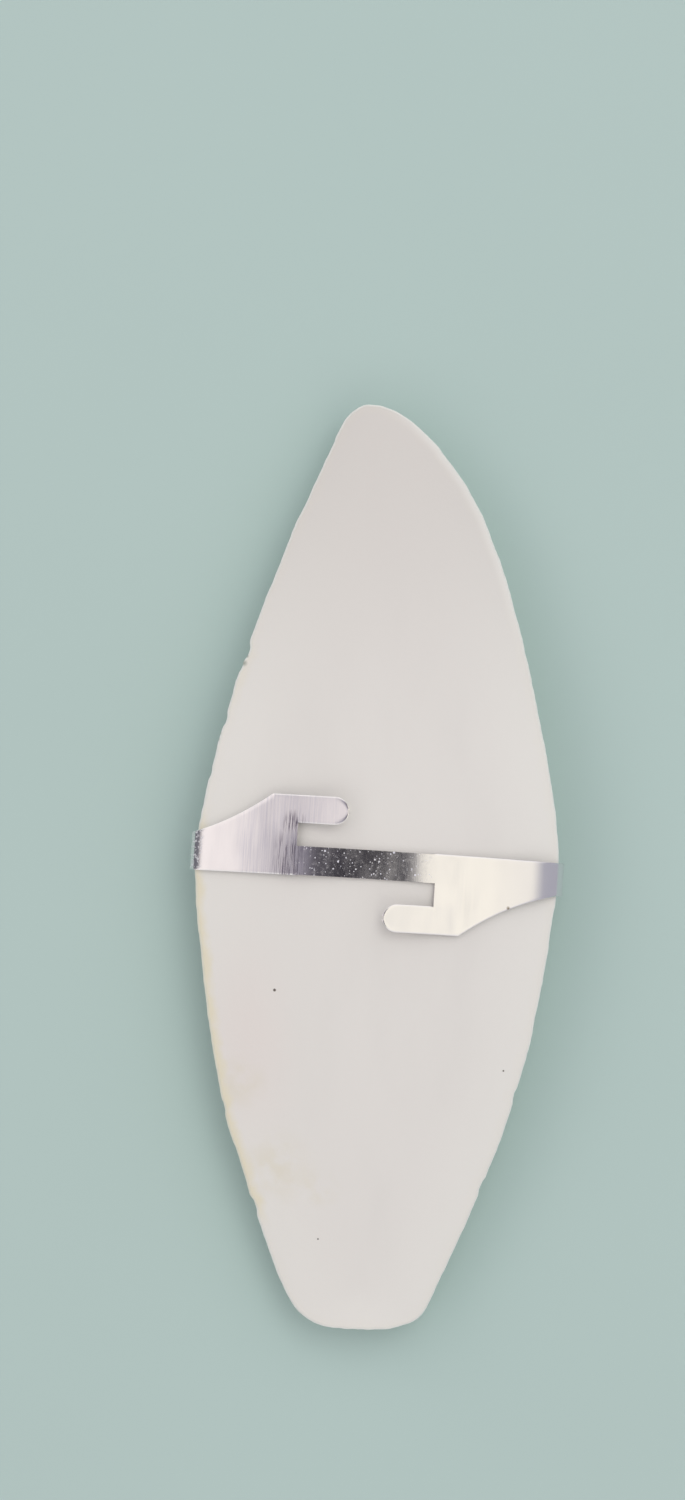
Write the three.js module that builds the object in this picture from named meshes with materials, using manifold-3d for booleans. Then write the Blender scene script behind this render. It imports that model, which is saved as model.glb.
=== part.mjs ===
// Cuttlebone with a stamped metal cage clip folded round its waist.
// It lies on its soft belly with the hard back and the clip's hooks facing up.
// Millimetres. +Y runs along the bone towards its front end, +X across it, +Z up out of the back.
// The origin is on the resting plane, under the middle of the bone.
import * as THREE from "three";
import { mergeVertices } from "three/addons/utils/BufferGeometryUtils.js";
import Module from "manifold-3d";

const { clamp, lerp, smoothstep, euclideanModulo, degToRad } = THREE.MathUtils;

// Bone outline, seen from above: a lens with blunt ends
const BONE_LENGTH = 127;
const HALF_LENGTH = BONE_LENGTH / 2;
const HALF_WIDTH = 24.9;
const WIDEST_Y = 0.5;
const FRONT_TAPER = { loss: 0.76, power: 1.5 };
const REAR_TAPER = { loss: 0.7, power: 1.82 };
const FRONT_TIP_X = -3.7;
const FRONT_LEFT_CORNER = { length: 2.7, power: 2 };
const FRONT_RIGHT_CORNER = { length: 17, power: 2.26 };
const REAR_CORNER = { length: 4.1, power: 3 };

// Bone heights above the resting plane
const MARGIN_HEIGHT = 9.6;
const MARGIN_SAG = 3;
const BACK_CAMBER = 4.4;
const BACK_POWER = 2.2;
const CAMBER_TAPER = 1.2;
const EDGE_THICKNESS = 1.4;
const EDGE_UNDERCUT = 0.985;
const FLANGE_INSET = 0.93;
const FLANK_POWER = 2.6;
const BELLY_Y = 10;
const BELLY_FLATTENED = 0.45;
const REST_HALF = 5.4;
const FRONT_RISE = { height: 4.5, power: 2.2 };
const REAR_RISE = { height: 2.9, power: 2 };

// Belly relief: the growth ledges of the soft side, its shallow trough and the ridge round its rear
const LEDGE_SPACING = 5.2;
const LEDGE_DEPTH = 0.34;
const LEDGE_BOW = 9;
const LEDGES_FROM = -52;
const LEDGES_TO = -4;
const LEDGE_FADE = [0.68, 0.86];
const TROUGH_DEPTH = 0.9;
const TROUGH_WIDTH = 8;
const TROUGH_Y = -36;
const TROUGH_LENGTH = 17;
const CONE_HEIGHT = 0.8;
const CONE_WIDTH = 1.5;
const CONE_REAR_Y = -57;
const CONE_REAR_FADE = [-58, -53];
const CONE_FRONT_FADE = [-41, -27];
const CONE_SPREAD = 3.1;
const RELIEF_FADE = 0.4;

// Facets of the bone
const LEDGE_STATION_GAP = 1.3;
const SMOOTH_STATION_GAP = 2.5;
const END_STATIONS = [0.03, 0.3, 0.8, 1.5, 2.5, 3.8, 5.4];
const BACK_STEPS = 18;
const BELLY_STEPS = 24;
const REST_SHARE = 0.3;

// Clip: one strip of sheet metal, with two hooks that open towards each other
const SHEET = 0.4;
const CLIP_GAP = 0.3;
const CLIP_X = -1.6;
const CLIP_Y = 0.3;
const CLIP_SKEW = degToRad(-1.25);
const STRAP_HALF = 1.95;
const SLOT_END = 9.5;
const FINGER_INNER = 5.2;
const FINGER_OUTER = 8.8;
const FINGER_TIP = 2.8;
const FINGER_RADIUS = (FINGER_OUTER - FINGER_INNER) / 2;
const SHOULDER = 13.1;
const WAIST = { from: 26, half: 2.45, via: 19.5, viaHalf: 3.9 };
const PLATE_BULGE = 0.5;
const BEND_LENGTH = 1.4;
const FOLD_ROUND = 0.8;
const FOLD_REACH = 1.04;
const TAB_ACROSS = [0.9, 0.76, 0.62];
const TAB_STAND_OFF = 0.8;
const TAB_TIP_HALF = 0.9;
const TAB_ROOT = 23;
const CURVE_STEPS = 8;
const PLATE_STEPS = 16;
const BLANK_REACH = 32;
const TALL = 60;
const MERGE_DISTANCE = 1e-4;

const BONE_COLOUR = 0xd9d4d0;
const METAL_COLOUR = 0xc9c8cc;

const wasm = await Module();
wasm.setup();

// Bone outline

function cornerShare(distance, { length, power }) {
  if (distance >= length) return 1;
  const inward = 1 - distance / length;
  return (1 - inward ** power) ** (1 / power);
}

function lensHalf(y) {
  const isFront = y > WIDEST_Y;
  const reach = isFront ? HALF_LENGTH - WIDEST_Y : HALF_LENGTH + WIDEST_Y;
  const taper = isFront ? FRONT_TAPER : REAR_TAPER;
  return HALF_WIDTH * (1 - taper.loss * (Math.abs(y - WIDEST_Y) / reach) ** taper.power);
}

// One side of the lens, with its two ends trimmed off and their corners rounded
function edgeX(y, side) {
  const tipX = y > 0 ? FRONT_TIP_X : 0;
  const frontCorner = side < 0 ? FRONT_LEFT_CORNER : FRONT_RIGHT_CORNER;
  const share = cornerShare(HALF_LENGTH - Math.abs(y), y > 0 ? frontCorner : REAR_CORNER);
  return lerp(tipX, side * lensHalf(y), share);
}

// A place across the bone, from -1 at its left edge to 1 at its right
function acrossX(share, y) {
  return lerp(edgeX(y, -1), edgeX(y, 1), (share + 1) / 2);
}

// Bone heights above the resting plane, at a point seen from above

function marginHeight(y) {
  return MARGIN_HEIGHT - MARGIN_SAG * (y / HALF_LENGTH) ** 2;
}

function backHeight(x, y) {
  const camber = BACK_CAMBER * (lensHalf(y) / HALF_WIDTH) ** CAMBER_TAPER;
  return marginHeight(y) + camber * (1 - Math.abs(x / lensHalf(y)) ** BACK_POWER);
}

function keelHeight(y) {
  const rise = y > BELLY_Y ? FRONT_RISE : REAR_RISE;
  const share = Math.abs(y - BELLY_Y) / (HALF_LENGTH - Math.sign(y - BELLY_Y) * BELLY_Y);
  return rise.height * share ** rise.power - BELLY_FLATTENED;
}

function growthLedges(x, y) {
  const across = Math.abs(x) / lensHalf(y);
  const growth = y + LEDGE_BOW * across ** 2;
  const zone =
    smoothstep(y, LEDGES_FROM - LEDGE_SPACING, LEDGES_FROM) *
    (1 - smoothstep(growth, LEDGES_TO - LEDGE_SPACING, LEDGES_TO)) *
    (1 - smoothstep(across, ...LEDGE_FADE));
  return LEDGE_DEPTH * zone * (0.5 - euclideanModulo(growth / LEDGE_SPACING, 1));
}

function trough(x, y) {
  return TROUGH_DEPTH * Math.exp(-((x / TROUGH_WIDTH) ** 2) - ((y - TROUGH_Y) / TROUGH_LENGTH) ** 2);
}

function coneRidge(x, y) {
  const fade = smoothstep(y, ...CONE_REAR_FADE) * (1 - smoothstep(y, ...CONE_FRONT_FADE));
  const ridgeX = CONE_SPREAD * Math.sqrt(Math.max(y - CONE_REAR_Y, 0));
  return CONE_HEIGHT * fade * Math.exp(-(((Math.abs(x) - ridgeX) / CONE_WIDTH) ** 2));
}

function bellyHeight(x, y) {
  const flange = marginHeight(y) - EDGE_THICKNESS;
  const inward = Math.min(Math.abs(x) / (FLANGE_INSET * lensHalf(y)), 1);
  const swell = 1 - inward ** FLANK_POWER;
  const relief = growthLedges(x, y) + trough(x, y) - coneRidge(x, y);
  return Math.max(flange - (flange - keelHeight(y)) * swell + relief * smoothstep(swell, 0, RELIEF_FADE), 0);
}

// Bone mesh: closed sections along Y, skinned and capped at both ends

function boneStations() {
  const stations = END_STATIONS.map((gap) => -HALF_LENGTH + gap);
  const lastFront = HALF_LENGTH - END_STATIONS.at(-1);
  let y = stations.at(-1);
  while (y < lastFront - SMOOTH_STATION_GAP) {
    y += y < LEDGES_TO ? LEDGE_STATION_GAP : SMOOTH_STATION_GAP;
    stations.push(y);
  }
  return [...stations, ...END_STATIONS.map((gap) => HALF_LENGTH - gap).reverse()];
}

// The belly's middle columns run straight where it is wide, so that the flat it rests on has straight sides
function bellyX(share, y) {
  const x = acrossX(share, y);
  return Math.abs(share) < REST_SHARE ? clamp(x, -REST_HALF, REST_HALF) : x;
}

function boneSection(y) {
  const back = Array.from({ length: BACK_STEPS + 1 }, (_, i) => {
    const x = acrossX(-Math.cos((Math.PI * i) / BACK_STEPS), y);
    return new THREE.Vector3(x, y, backHeight(x, y));
  });
  const belly = Array.from({ length: BELLY_STEPS + 1 }, (_, i) => {
    const x = bellyX(EDGE_UNDERCUT * Math.cos((Math.PI * i) / BELLY_STEPS), y);
    return new THREE.Vector3(x, y, bellyHeight(x, y));
  });
  return [...back, ...belly];
}

function boneGeometry() {
  const sections = boneStations().map(boneSection);
  const around = sections[0].length;
  const points = sections.flat();
  const faces = [];
  for (let s = 0; s + 1 < sections.length; s++) {
    for (let i = 0; i < around; i++) {
      const a = s * around + i;
      const b = s * around + ((i + 1) % around);
      faces.push(a, b, a + around, b, b + around, a + around);
    }
  }
  for (const [first, isRear] of [[0, true], [(sections.length - 1) * around, false]]) {
    const loop = points.slice(first, first + around);
    const centre = loop.reduce((sum, p) => sum.add(p), new THREE.Vector3()).divideScalar(around);
    const hub = points.push(centre) - 1;
    for (let i = 0; i < around; i++) {
      const a = first + i;
      const b = first + ((i + 1) % around);
      faces.push(hub, ...(isRear ? [b, a] : [a, b]));
    }
  }
  return new THREE.BufferGeometry().setFromPoints(points).setIndex(faces);
}

// Solids for the joins and cuts

function solidOf(geometry) {
  const bare = geometry.clone();
  bare.deleteAttribute("normal");
  bare.deleteAttribute("uv");
  const merged = mergeVertices(bare, MERGE_DISTANCE);
  return new wasm.Manifold(
    new wasm.Mesh({
      numProp: 3,
      vertProperties: merged.attributes.position.array,
      triVerts: new Uint32Array(merged.index.array),
    }),
  );
}

function geometryOf(solid) {
  const { vertProperties, triVerts } = solid.getMesh();
  return new THREE.BufferGeometry()
    .setAttribute("position", new THREE.BufferAttribute(vertProperties, 3))
    .setIndex(new THREE.BufferAttribute(triVerts, 1));
}

// A plan outline in the clip's own frame, as a prism between two heights
function prism(shape, low, high) {
  const geometry = new THREE.ExtrudeGeometry(shape, {
    depth: high - low,
    bevelEnabled: false,
    curveSegments: CURVE_STEPS,
  });
  return solidOf(geometry.translate(0, 0, low));
}

// A bent line in the clip's side view, given thickness and drawn out across the strip
function sheetAlong(line) {
  const offset = (distance) =>
    line.map((p, i) => {
      const along = line[Math.min(i + 1, line.length - 1)].clone().sub(line[Math.max(i - 1, 0)]).normalize();
      return p.clone().add(new THREE.Vector2(-along.y, along.x).multiplyScalar(distance));
    });
  const outline = [...offset(SHEET / 2), ...offset(-SHEET / 2).reverse()];
  const geometry = new THREE.ExtrudeGeometry(new THREE.Shape(outline), { depth: TALL, bevelEnabled: false });
  return solidOf(geometry.translate(0, 0, -TALL / 2).rotateX(Math.PI / 2));
}

// Clip side view: the line down the middle of the sheet, from the strap's bend out to the tab's tip

const STRAP_HEIGHT = backHeight(0, CLIP_Y) + CLIP_GAP + SHEET / 2;
const STAND_OFF = CLIP_GAP + SHEET / 2;

function foldPoints(side) {
  const edge = edgeX(CLIP_Y, side) - CLIP_X;
  const margin = marginHeight(CLIP_Y);
  return {
    bend: new THREE.Vector2(side * SLOT_END, STRAP_HEIGHT),
    upper: new THREE.Vector2(edge + side * STAND_OFF, margin + STAND_OFF),
    lower: new THREE.Vector2(edge + side * STAND_OFF, margin - EDGE_THICKNESS - STAND_OFF - CLIP_GAP),
  };
}

function plateCurve(side) {
  const { bend, upper } = foldPoints(side);
  const middle = bend.clone().add(upper).divideScalar(2);
  middle.y += PLATE_BULGE;
  return new THREE.QuadraticBezierCurve(bend, middle, upper);
}

function tabPoints(side) {
  return TAB_ACROSS.map((across) => {
    const x = across * edgeX(CLIP_Y, side);
    return new THREE.Vector2(x - CLIP_X, bellyHeight(x, CLIP_Y) - TAB_STAND_OFF);
  });
}

function foldedLine(side) {
  const plate = plateCurve(side).getPoints(PLATE_STEPS);
  const { upper, lower } = foldPoints(side);
  const tab = tabPoints(side);
  const outward = plate.at(-2).clone().sub(upper).setLength(FOLD_ROUND).add(upper);
  const inward = tab[0].clone().sub(lower).setLength(FOLD_ROUND).add(lower);
  const folds = new THREE.Path();
  folds.moveTo(outward.x, outward.y);
  folds.quadraticCurveTo(upper.x, upper.y, upper.x, upper.y - FOLD_ROUND);
  folds.lineTo(lower.x, lower.y + FOLD_ROUND);
  folds.quadraticCurveTo(lower.x, lower.y, inward.x, inward.y);
  folds.splineThru(tab);
  const kept = plate.filter((p) => p.distanceTo(upper) > FOLD_REACH);
  return [...kept, ...folds.getPoints(CURVE_STEPS)];
}

// The strap turns into each plate over a short bend that starts at the slot's end
function strapLine() {
  const [left, right] = [-1, 1].map((side) => {
    const flat = new THREE.Vector2(side * (SLOT_END - BEND_LENGTH), STRAP_HEIGHT);
    return [flat, ...foldedLine(side)];
  });
  return [...left.reverse(), ...right];
}

// A hook's finger carries on straight from its plate, so it stands clear of the strap
function fingerLine(side) {
  const plate = plateCurve(side).getPoints(PLATE_STEPS);
  const slope = plate[0].clone().sub(plate[1]).setLength(SLOT_END);
  return [plate[0].clone().add(slope), ...plate.slice(0, -2)];
}

// Clip plan outlines, for the right-hand half; the left-hand one is the same turned half round

function plateShape() {
  const shape = new THREE.Shape();
  shape.moveTo(0, STRAP_HALF);
  shape.lineTo(BLANK_REACH, STRAP_HALF);
  shape.lineTo(BLANK_REACH, -WAIST.half);
  shape.lineTo(WAIST.from, -WAIST.half);
  shape.quadraticCurveTo(WAIST.via, -WAIST.viaHalf, SHOULDER, -FINGER_OUTER);
  shape.lineTo(SLOT_END, -FINGER_OUTER);
  shape.lineTo(SLOT_END, -STRAP_HALF);
  shape.lineTo(0, -STRAP_HALF);
  return shape;
}

function fingerShape() {
  const shape = new THREE.Shape();
  shape.moveTo(SHOULDER, -FINGER_INNER);
  shape.lineTo(FINGER_TIP + FINGER_RADIUS, -FINGER_INNER);
  const turn = [Math.PI / 2, (Math.PI * 3) / 2];
  shape.absarc(FINGER_TIP + FINGER_RADIUS, -FINGER_INNER - FINGER_RADIUS, FINGER_RADIUS, ...turn, false);
  shape.lineTo(SHOULDER, -FINGER_OUTER);
  return shape;
}

function tabShape(side) {
  const tip = Math.abs(tabPoints(side).at(-1).x);
  const shape = new THREE.Shape();
  shape.moveTo(BLANK_REACH, STRAP_HALF);
  shape.lineTo(BLANK_REACH, -WAIST.half);
  shape.lineTo(TAB_ROOT, -WAIST.half);
  shape.lineTo(tip + TAB_TIP_HALF, -TAB_TIP_HALF);
  shape.quadraticCurveTo(tip - TAB_TIP_HALF, 0, tip + TAB_TIP_HALF, TAB_TIP_HALF);
  shape.lineTo(TAB_ROOT, STRAP_HALF);
  return shape;
}

function clipGeometry() {
  const splitHeight = marginHeight(CLIP_Y) - EDGE_THICKNESS / 2;
  const strap = sheetAlong(strapLine());
  const parts = [1, -1].flatMap((side) => {
    const turned = (solid) => (side > 0 ? solid : solid.rotate([0, 0, 180]));
    const plate = turned(prism(plateShape(), splitHeight, TALL));
    const tab = turned(prism(tabShape(side), -TALL, splitHeight));
    const finger = turned(prism(fingerShape(), splitHeight, TALL));
    return [strap.intersect(plate.add(tab)), sheetAlong(fingerLine(side)).intersect(finger)];
  });
  return geometryOf(parts.reduce((whole, part) => whole.add(part)));
}

// Assembly

const bone = new THREE.Mesh(
  boneGeometry(),
  new THREE.MeshStandardMaterial({ color: BONE_COLOUR, roughness: 0.75, metalness: 0 }),
);
bone.name = "bone";

const clip = new THREE.Mesh(
  clipGeometry(),
  new THREE.MeshStandardMaterial({ color: METAL_COLOUR, roughness: 0.25, metalness: 1 }),
);
clip.name = "clip";
clip.position.set(CLIP_X, CLIP_Y, 0);
clip.rotation.z = CLIP_SKEW;

const cuttlebone = new THREE.Group();
cuttlebone.add(bone, clip);

export default cuttlebone;
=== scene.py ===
# Looks of a cuttlebone with a stamped metal cage clip, lying on its belly, seen straight from above.
# Shapes are worked out in millimetres, in the part's own frame, and become metres when a mesh is made.
import math

import bmesh
import bpy
import numpy as np
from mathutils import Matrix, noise


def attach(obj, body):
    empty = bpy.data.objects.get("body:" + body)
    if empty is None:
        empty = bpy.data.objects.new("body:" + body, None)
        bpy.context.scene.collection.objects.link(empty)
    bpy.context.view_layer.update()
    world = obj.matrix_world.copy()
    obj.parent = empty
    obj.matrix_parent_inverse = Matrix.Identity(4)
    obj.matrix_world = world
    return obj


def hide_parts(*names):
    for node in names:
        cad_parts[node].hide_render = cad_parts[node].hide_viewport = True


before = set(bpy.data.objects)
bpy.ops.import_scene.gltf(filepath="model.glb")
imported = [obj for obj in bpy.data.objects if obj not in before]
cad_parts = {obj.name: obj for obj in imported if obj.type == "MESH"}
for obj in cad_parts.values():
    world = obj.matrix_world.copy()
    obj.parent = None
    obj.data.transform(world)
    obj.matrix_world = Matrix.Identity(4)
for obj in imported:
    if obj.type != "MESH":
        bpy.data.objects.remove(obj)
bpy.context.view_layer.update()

MM = 0.001


def linear(red, green, blue):
    """A display colour, 0 to 255 a channel, as the linear colour that a shader takes."""
    shares = np.array([red, green, blue]) / 255
    channels = np.where(shares <= 0.04045, shares / 12.92, ((shares + 0.055) / 1.055) ** 2.4)
    return (*channels.tolist(), 1.0)


# Photograph: its size, its scale and where the bone lies in it
PHOTO_WIDTH = 685
PHOTO_HEIGHT = 1500
PIXELS_PER_MM = 7.297
BONE_MIDDLE_PX = (377, 868)
BONE_LEAN = math.radians(2.35)
LENS = 100
SENSOR = 36
FOCUS_HEIGHT = 9.0

# Bone outline, seen from above: a lens with blunt ends
# A taper is the share of the width that is lost and its power, and a corner is its length and power
HALF_LENGTH = 63.5
HALF_WIDTH = 24.9
WIDEST_Y = 0.5
FRONT_TAPER = (0.76, 1.5)
REAR_TAPER = (0.7, 1.82)
FRONT_TIP_X = -3.7
FRONT_LEFT_CORNER = (2.7, 2.0)
FRONT_RIGHT_CORNER = (17.0, 2.26)
REAR_CORNER = (4.1, 3.0)

# Bone heights above the floor; a rise is the belly's height at that end and its power
MARGIN_HEIGHT = 9.6
MARGIN_SAG = 3.0
BACK_CAMBER = 4.4
BACK_POWER = 2.2
CAMBER_TAPER = 1.2
EDGE_THICKNESS = 1.4
EDGE_UNDERCUT = 0.985
FLANGE_INSET = 0.93
FLANK_POWER = 2.6
BELLY_Y = 10.0
BELLY_FLATTENED = 0.45
FRONT_RISE = (4.5, 2.2)
REAR_RISE = (2.9, 2.0)

# Belly relief: growth ledges, a shallow trough and the ridge round the rear
LEDGE_SPACING = 5.2
LEDGE_DEPTH = 0.34
LEDGE_BOW = 9.0
LEDGES_FROM = -52.0
LEDGES_TO = -4.0
LEDGE_FADE = (0.68, 0.86)
LEDGE_RISE = (0.72, 1.0)
TROUGH_DEPTH = 0.9
TROUGH_WIDTH = 8.0
TROUGH_Y = -36.0
TROUGH_LENGTH = 17.0
CONE_HEIGHT = 0.8
CONE_WIDTH = 1.5
CONE_REAR_Y = -57.0
CONE_REAR_FADE = (-58.0, -53.0)
CONE_FRONT_FADE = (-41.0, -27.0)
CONE_SPREAD = 3.1
RELIEF_FADE = 0.4

# Fine bone surface: waves are pairs of a wavelength and a height
STATIONS = 370
OUTLINE_SAMPLES = 4000
AXIS_SHARE = 0.93
AXIS_BEND = (10.0, 52.0)
EDGE_RINGS = (0.0, 0.03, 0.11, 0.24, 0.42, 0.66)
INNER_RINGS = 54
WALL_ROWS = 5
BACK_ROUND = 0.4
BELLY_ROUND = 0.55
EDGE_WAVES = ((9.0, 0.16), (2.6, 0.11), (0.9, 0.06))
WALL_WAVES = ((0.8, 0.06),)
END_FADE = 6.0
# Each swell or chip is its side, its place along Y, half its span, and its height or depth
EDGE_SWELLS = (
    (1, 57.0, 5.0, 0.2),
    (1, 38.5, 11.5, 0.68),
    (1, -60.4, 2.8, 0.28),
    (1, -13.0, 9.0, -0.4),
    (-1, -14.0, 9.0, -0.25),
    (-1, -34.0, 7.0, 0.35),
    (-1, -55.0, 8.0, 0.45),
)
EDGE_CHIPS = (
    (-1, 28.9, 1.1, 0.38),
    (-1, 26.9, 0.6, 0.16),
    (-1, 19.5, 0.8, 0.22),
    (-1, 12.1, 0.7, 0.16),
    (-1, -33.5, 0.8, 0.18),
    (-1, -47.0, 1.1, 0.24),
    (1, -30.5, 0.8, 0.2),
    (1, -43.0, 1.0, 0.22),
)
CHIP_POWER = 4
# Each stretch of rim is its side, its rear and front ends, and how strongly it shows
RIM_FAINT = 0.08
RIM_FADE = 6.0
RIM_STRETCHES = ((-1, -45.0, 3.0, 1.0), (-1, 23.0, 28.0, 0.3))
# The rib along the back has a width at the rear that grows by a share of the way to the front
RIB_HEIGHT = 0.09
RIB_WIDTH = (3.2, 0.045)
GROOVE_DEPTH = 0.06
GROOVE_OUT = 2.0
GROOVE_WIDTH = 0.7
BACK_WAVES = ((17.0, 0.06), (5.0, 0.02), (1.2, 0.012))
BELLY_WAVES = ((11.0, 0.09), (2.4, 0.035))
FINE_LEDGE_SPACING = 1.55
FINE_LEDGE_DEPTH = 0.13
FINE_LEDGE_WOBBLE = ((8.0, 0.9),)

# Noise: each seed reads its own stretch of it
SEED_STEP = 17.3
EDGE_SEED = 1
BACK_SEED = 5
LEDGE_SEED = 9
BELLY_SEED = 11
WALL_SEED = 15
SHEET_SEED = 21

# Clip: one strip of sheet metal, with two hooks that open towards each other
# Where its halves differ, 1 is the right one and -1 the left one
SHEET = 0.4
CLIP_GAP = 0.3
CLIP_X = -1.6
CLIP_Y = 0.3
CLIP_SKEW = math.radians(-1.25)
PLAN_BOW = 0.3
PLAN_BOW_REACH = 24.0
STRAP_HALF = 1.95
SLOT_END = 9.5
SLOT_TOLERANCE = 0.001
FINGER_INNER = 5.2
FINGER_OUTER = 8.8
FINGER_TIP = 2.8
FINGER_RADIUS = (FINGER_OUTER - FINGER_INNER) / 2
FINGER_CURL = 0.0027
FINGER_TIP_TURN = (6, 90)
HOOK_FROM = 13.0
HOOK_BLEND = 1.5
HOOK_RISE = 0.264
SHOULDER = 13.1
WAIST_FROM = 26.0
WAIST_HALF = 2.45
WAIST_VIA_HALF = 3.9
STRAP_BOW = 0.0026
PLATE_BULGE = {1: 0.25, -1: 0.5}
BEND_AT = {1: 7.3, -1: 8.8}
BEND_SOFTNESS = {1: 0.75, -1: 1.5}
FOLD_RUN = {1: 5.2, -1: 2.0}
FOLD_LIFT = {1: 2.2, -1: 0.6}
FOLD_DROP = {1: 2.5, -1: 0.8}
FOLD_SOFTNESS = 0.3
TAB_ACROSS = (0.9, 0.76, 0.62)
TAB_STAND_OFF = 0.8
TAB_TIP_HALF = 0.9
TAB_TIP_ROUNDED = 0.99
STAND_OFF = CLIP_GAP + SHEET / 2
PROFILE_STEP = 0.05
SOFTEN_REACH = 3
CURVE_POINTS = 120
STATION_STEP = 0.3
STRAP_COLUMNS = 12
NECK_COLUMNS = 8
FINGER_COLUMNS = 10
TIP_STEPS = 9
SHEET_WARP = ((7.0, 0.022), (2.2, 0.005))
EDGE_ROLL = (0.2, 0.075)
STRAP_SLACK = 1.01

# Meshes
WELD_DISTANCE = 1e-7
SHARP_ANGLE = math.radians(40)

# Bone material: a grain is a size, a detail and a roughness, and a bump is a height and a strength
# A stain is a centre, an inner and an outer radius, and a nick or a pit is a centre and a radius
BACK_COLOUR = linear(237, 234, 230)
BELLY_COLOUR = linear(238, 234, 226)
SHADE_COLOUR = linear(232, 229, 225)
FLATTENED = (1, 1, 0)
CLOUD_STRETCH = (1.3, 0.5, 0)
CLOUD_GRAIN = (12, 4)
CLOUD_LEVELS = (0.38, 0.8)
CLOUD_SHARE = 0.6
BLUSH_COLOUR = linear(239, 230, 226)
BLUSH_PLACES = ((-17.9, -10.5), (-15.6, -13.9))
BLUSH_STRETCH = (1, 0.5, 0)
BLUSH_REACH = (0.5, 8.0)
BLUSH_SHARE = 0.4
# Painted shade: the back is painted darker towards the front end, from 12 to 62 mm along Y
PAINTED_FRONT_SHADE_COLOUR = linear(226, 222, 218)
PAINTED_FRONT_SHADE_SPAN = (12.0, 62.0)
# Partly paler chalk and partly painted light: the margins are painted paler within 12 mm of the edge
PALE_MARGIN_AND_LIGHT_COLOUR = linear(245, 243, 238)
MARGIN_REACH = (0.0, 12.0)
MARGIN_SHARE = 0.6
RIM_COLOUR = linear(240, 233, 211)
RIM_GRAIN = (2.4, 3)
RIM_RAGGEDNESS = 1.9
RIM_REACH = (-0.7, 0.85)
# Painted highlight: the very edge of the bone is painted near white, less where the rim shows
PAINTED_HIGHLIGHT_COLOUR = linear(251, 250, 246)
EDGE_HIGHLIGHT_REACH = (0.1, 0.35)
EDGE_HIGHLIGHT_SHARE = 0.9
EDGE_HIGHLIGHT_RIM_LEVELS = (0.3, 1.0)
EDGE_HIGHLIGHT_ON_RIM = 0.45
# Painted highlight: a pale band painted inside the edge near the right front corner
CORNER_HIGHLIGHT_REACH = (0.1, 1.5)
CORNER_HIGHLIGHT_SHARE = 0.5
CORNER_HIGHLIGHT_X = (-3.0, 6.0)
CORNER_HIGHLIGHT_Y = (26.0, 42.0)
STAIN_COLOUR = linear(232, 225, 205)
LINE_COLOUR = linear(206, 196, 178)
LINE_SHARE = 0.4
LINE_GRAIN = (2.2, 3)
LINE_WANDER = 0.5
LINE_HALF_GAP = 0.26
LINE_LEVELS = (0.02, 0.2)
LINE_BUMP = (0.06, 0.5)
LAYER_GAP = 0.34
LAYER_SHARE = 0.3
LAYER_BUMP = (0.03, 0.5)
WALL_PEAK = 4.0
# Painted shade: small pits are painted dark, with no hollow in the surface
PAINTED_PIT_SHADE = linear(104, 96, 90)
# Painted shade: a greyish green darkening painted in the chips along the left edge
PAINTED_NICK_SHADE = linear(184, 187, 176)
STAINS = (((-12.0, -41.5), 0.5, 6.5), ((-17.5, -30.0), 0.5, 4.5), ((-6.0, -44.0), 0.5, 3.5))
STAIN_SHARE = 0.5
STAIN_GRAIN = (3.5, 3)
STAIN_LEVELS = (0.3, 0.65)
NICKS = (((-19.3, 27.3), 0.6), ((-19.0, 28.3), 0.4), ((-22.3, 17.6), 0.4), ((-22.5, 16.8), 0.4))
PITS = (((-13.3, -17.1), 0.27), ((18.4, -27.0), 0.17), ((-6.0, -51.1), 0.16))
PIT_CORE = 0.4
CHALK_GRAIN = (0.55, 4, 0.6)
CHALK_LEVELS = (0.2, 0.8)
CHALK_ROUGHNESS = (0.82, 0.96)
CHALK_BUMP = (0.05, 0.5)
CHALK_SPECULAR = 0.25

# Clip material, placed along (u) and across (v) the flat strip
# Specks are a cell's size, the chance of an empty cell, and the largest radius in cells
METAL_COLOUR = linear(240, 237, 236)
# Lavender grey: the left plate's worn streaks, and a painted reflection greying the right plate towards
# its fold
WORN_AND_REFLECTION_COLOUR = linear(200, 199, 213)
SCUFF_COLOUR = linear(130, 122, 136)
DUST_COLOUR = linear(240, 240, 250)
DIRT_COLOUR = linear(140, 128, 114)
STREAKS_FROM = (-18.2, -16.6)
STREAKS_TO = (-12.0, 2.0)
STREAK_SHARES = (0.05, 0.5)
STREAKS_LEAST = 0.1
WORN_LEVELS = (0.3, 0.7)
BRUSHED_STRETCH = (1, 0.03, 1)
BRUSHED_GRAIN = (0.24, 4, 0.6)
BRUSHED_BUMP = (0.004, 0.6)
SMEAR_STRETCH = (1, 0.35, 1)
SMEAR_GRAIN = (2.2, 3)
SMEAR_LEVELS = (0.2, 0.7)
SMEAR_SHARES = (0.4, 1.0)
SCRATCH_STRETCH = (1, 0.05, 1)
SCRATCH_GRAIN = (0.24, 3, 0.65)
SCRATCH_LEVELS = (0.42, 0.6)
SCRATCH_BUMP = (0.02, 0.5)
SHEEN_LEVELS = (0.3, 0.75)
SHEEN_ROUGHNESS = (0.14, 0.22)
SCUFF_ROUGHNESS = 0.12
DUST_ROUGHNESS = 0.6
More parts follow.
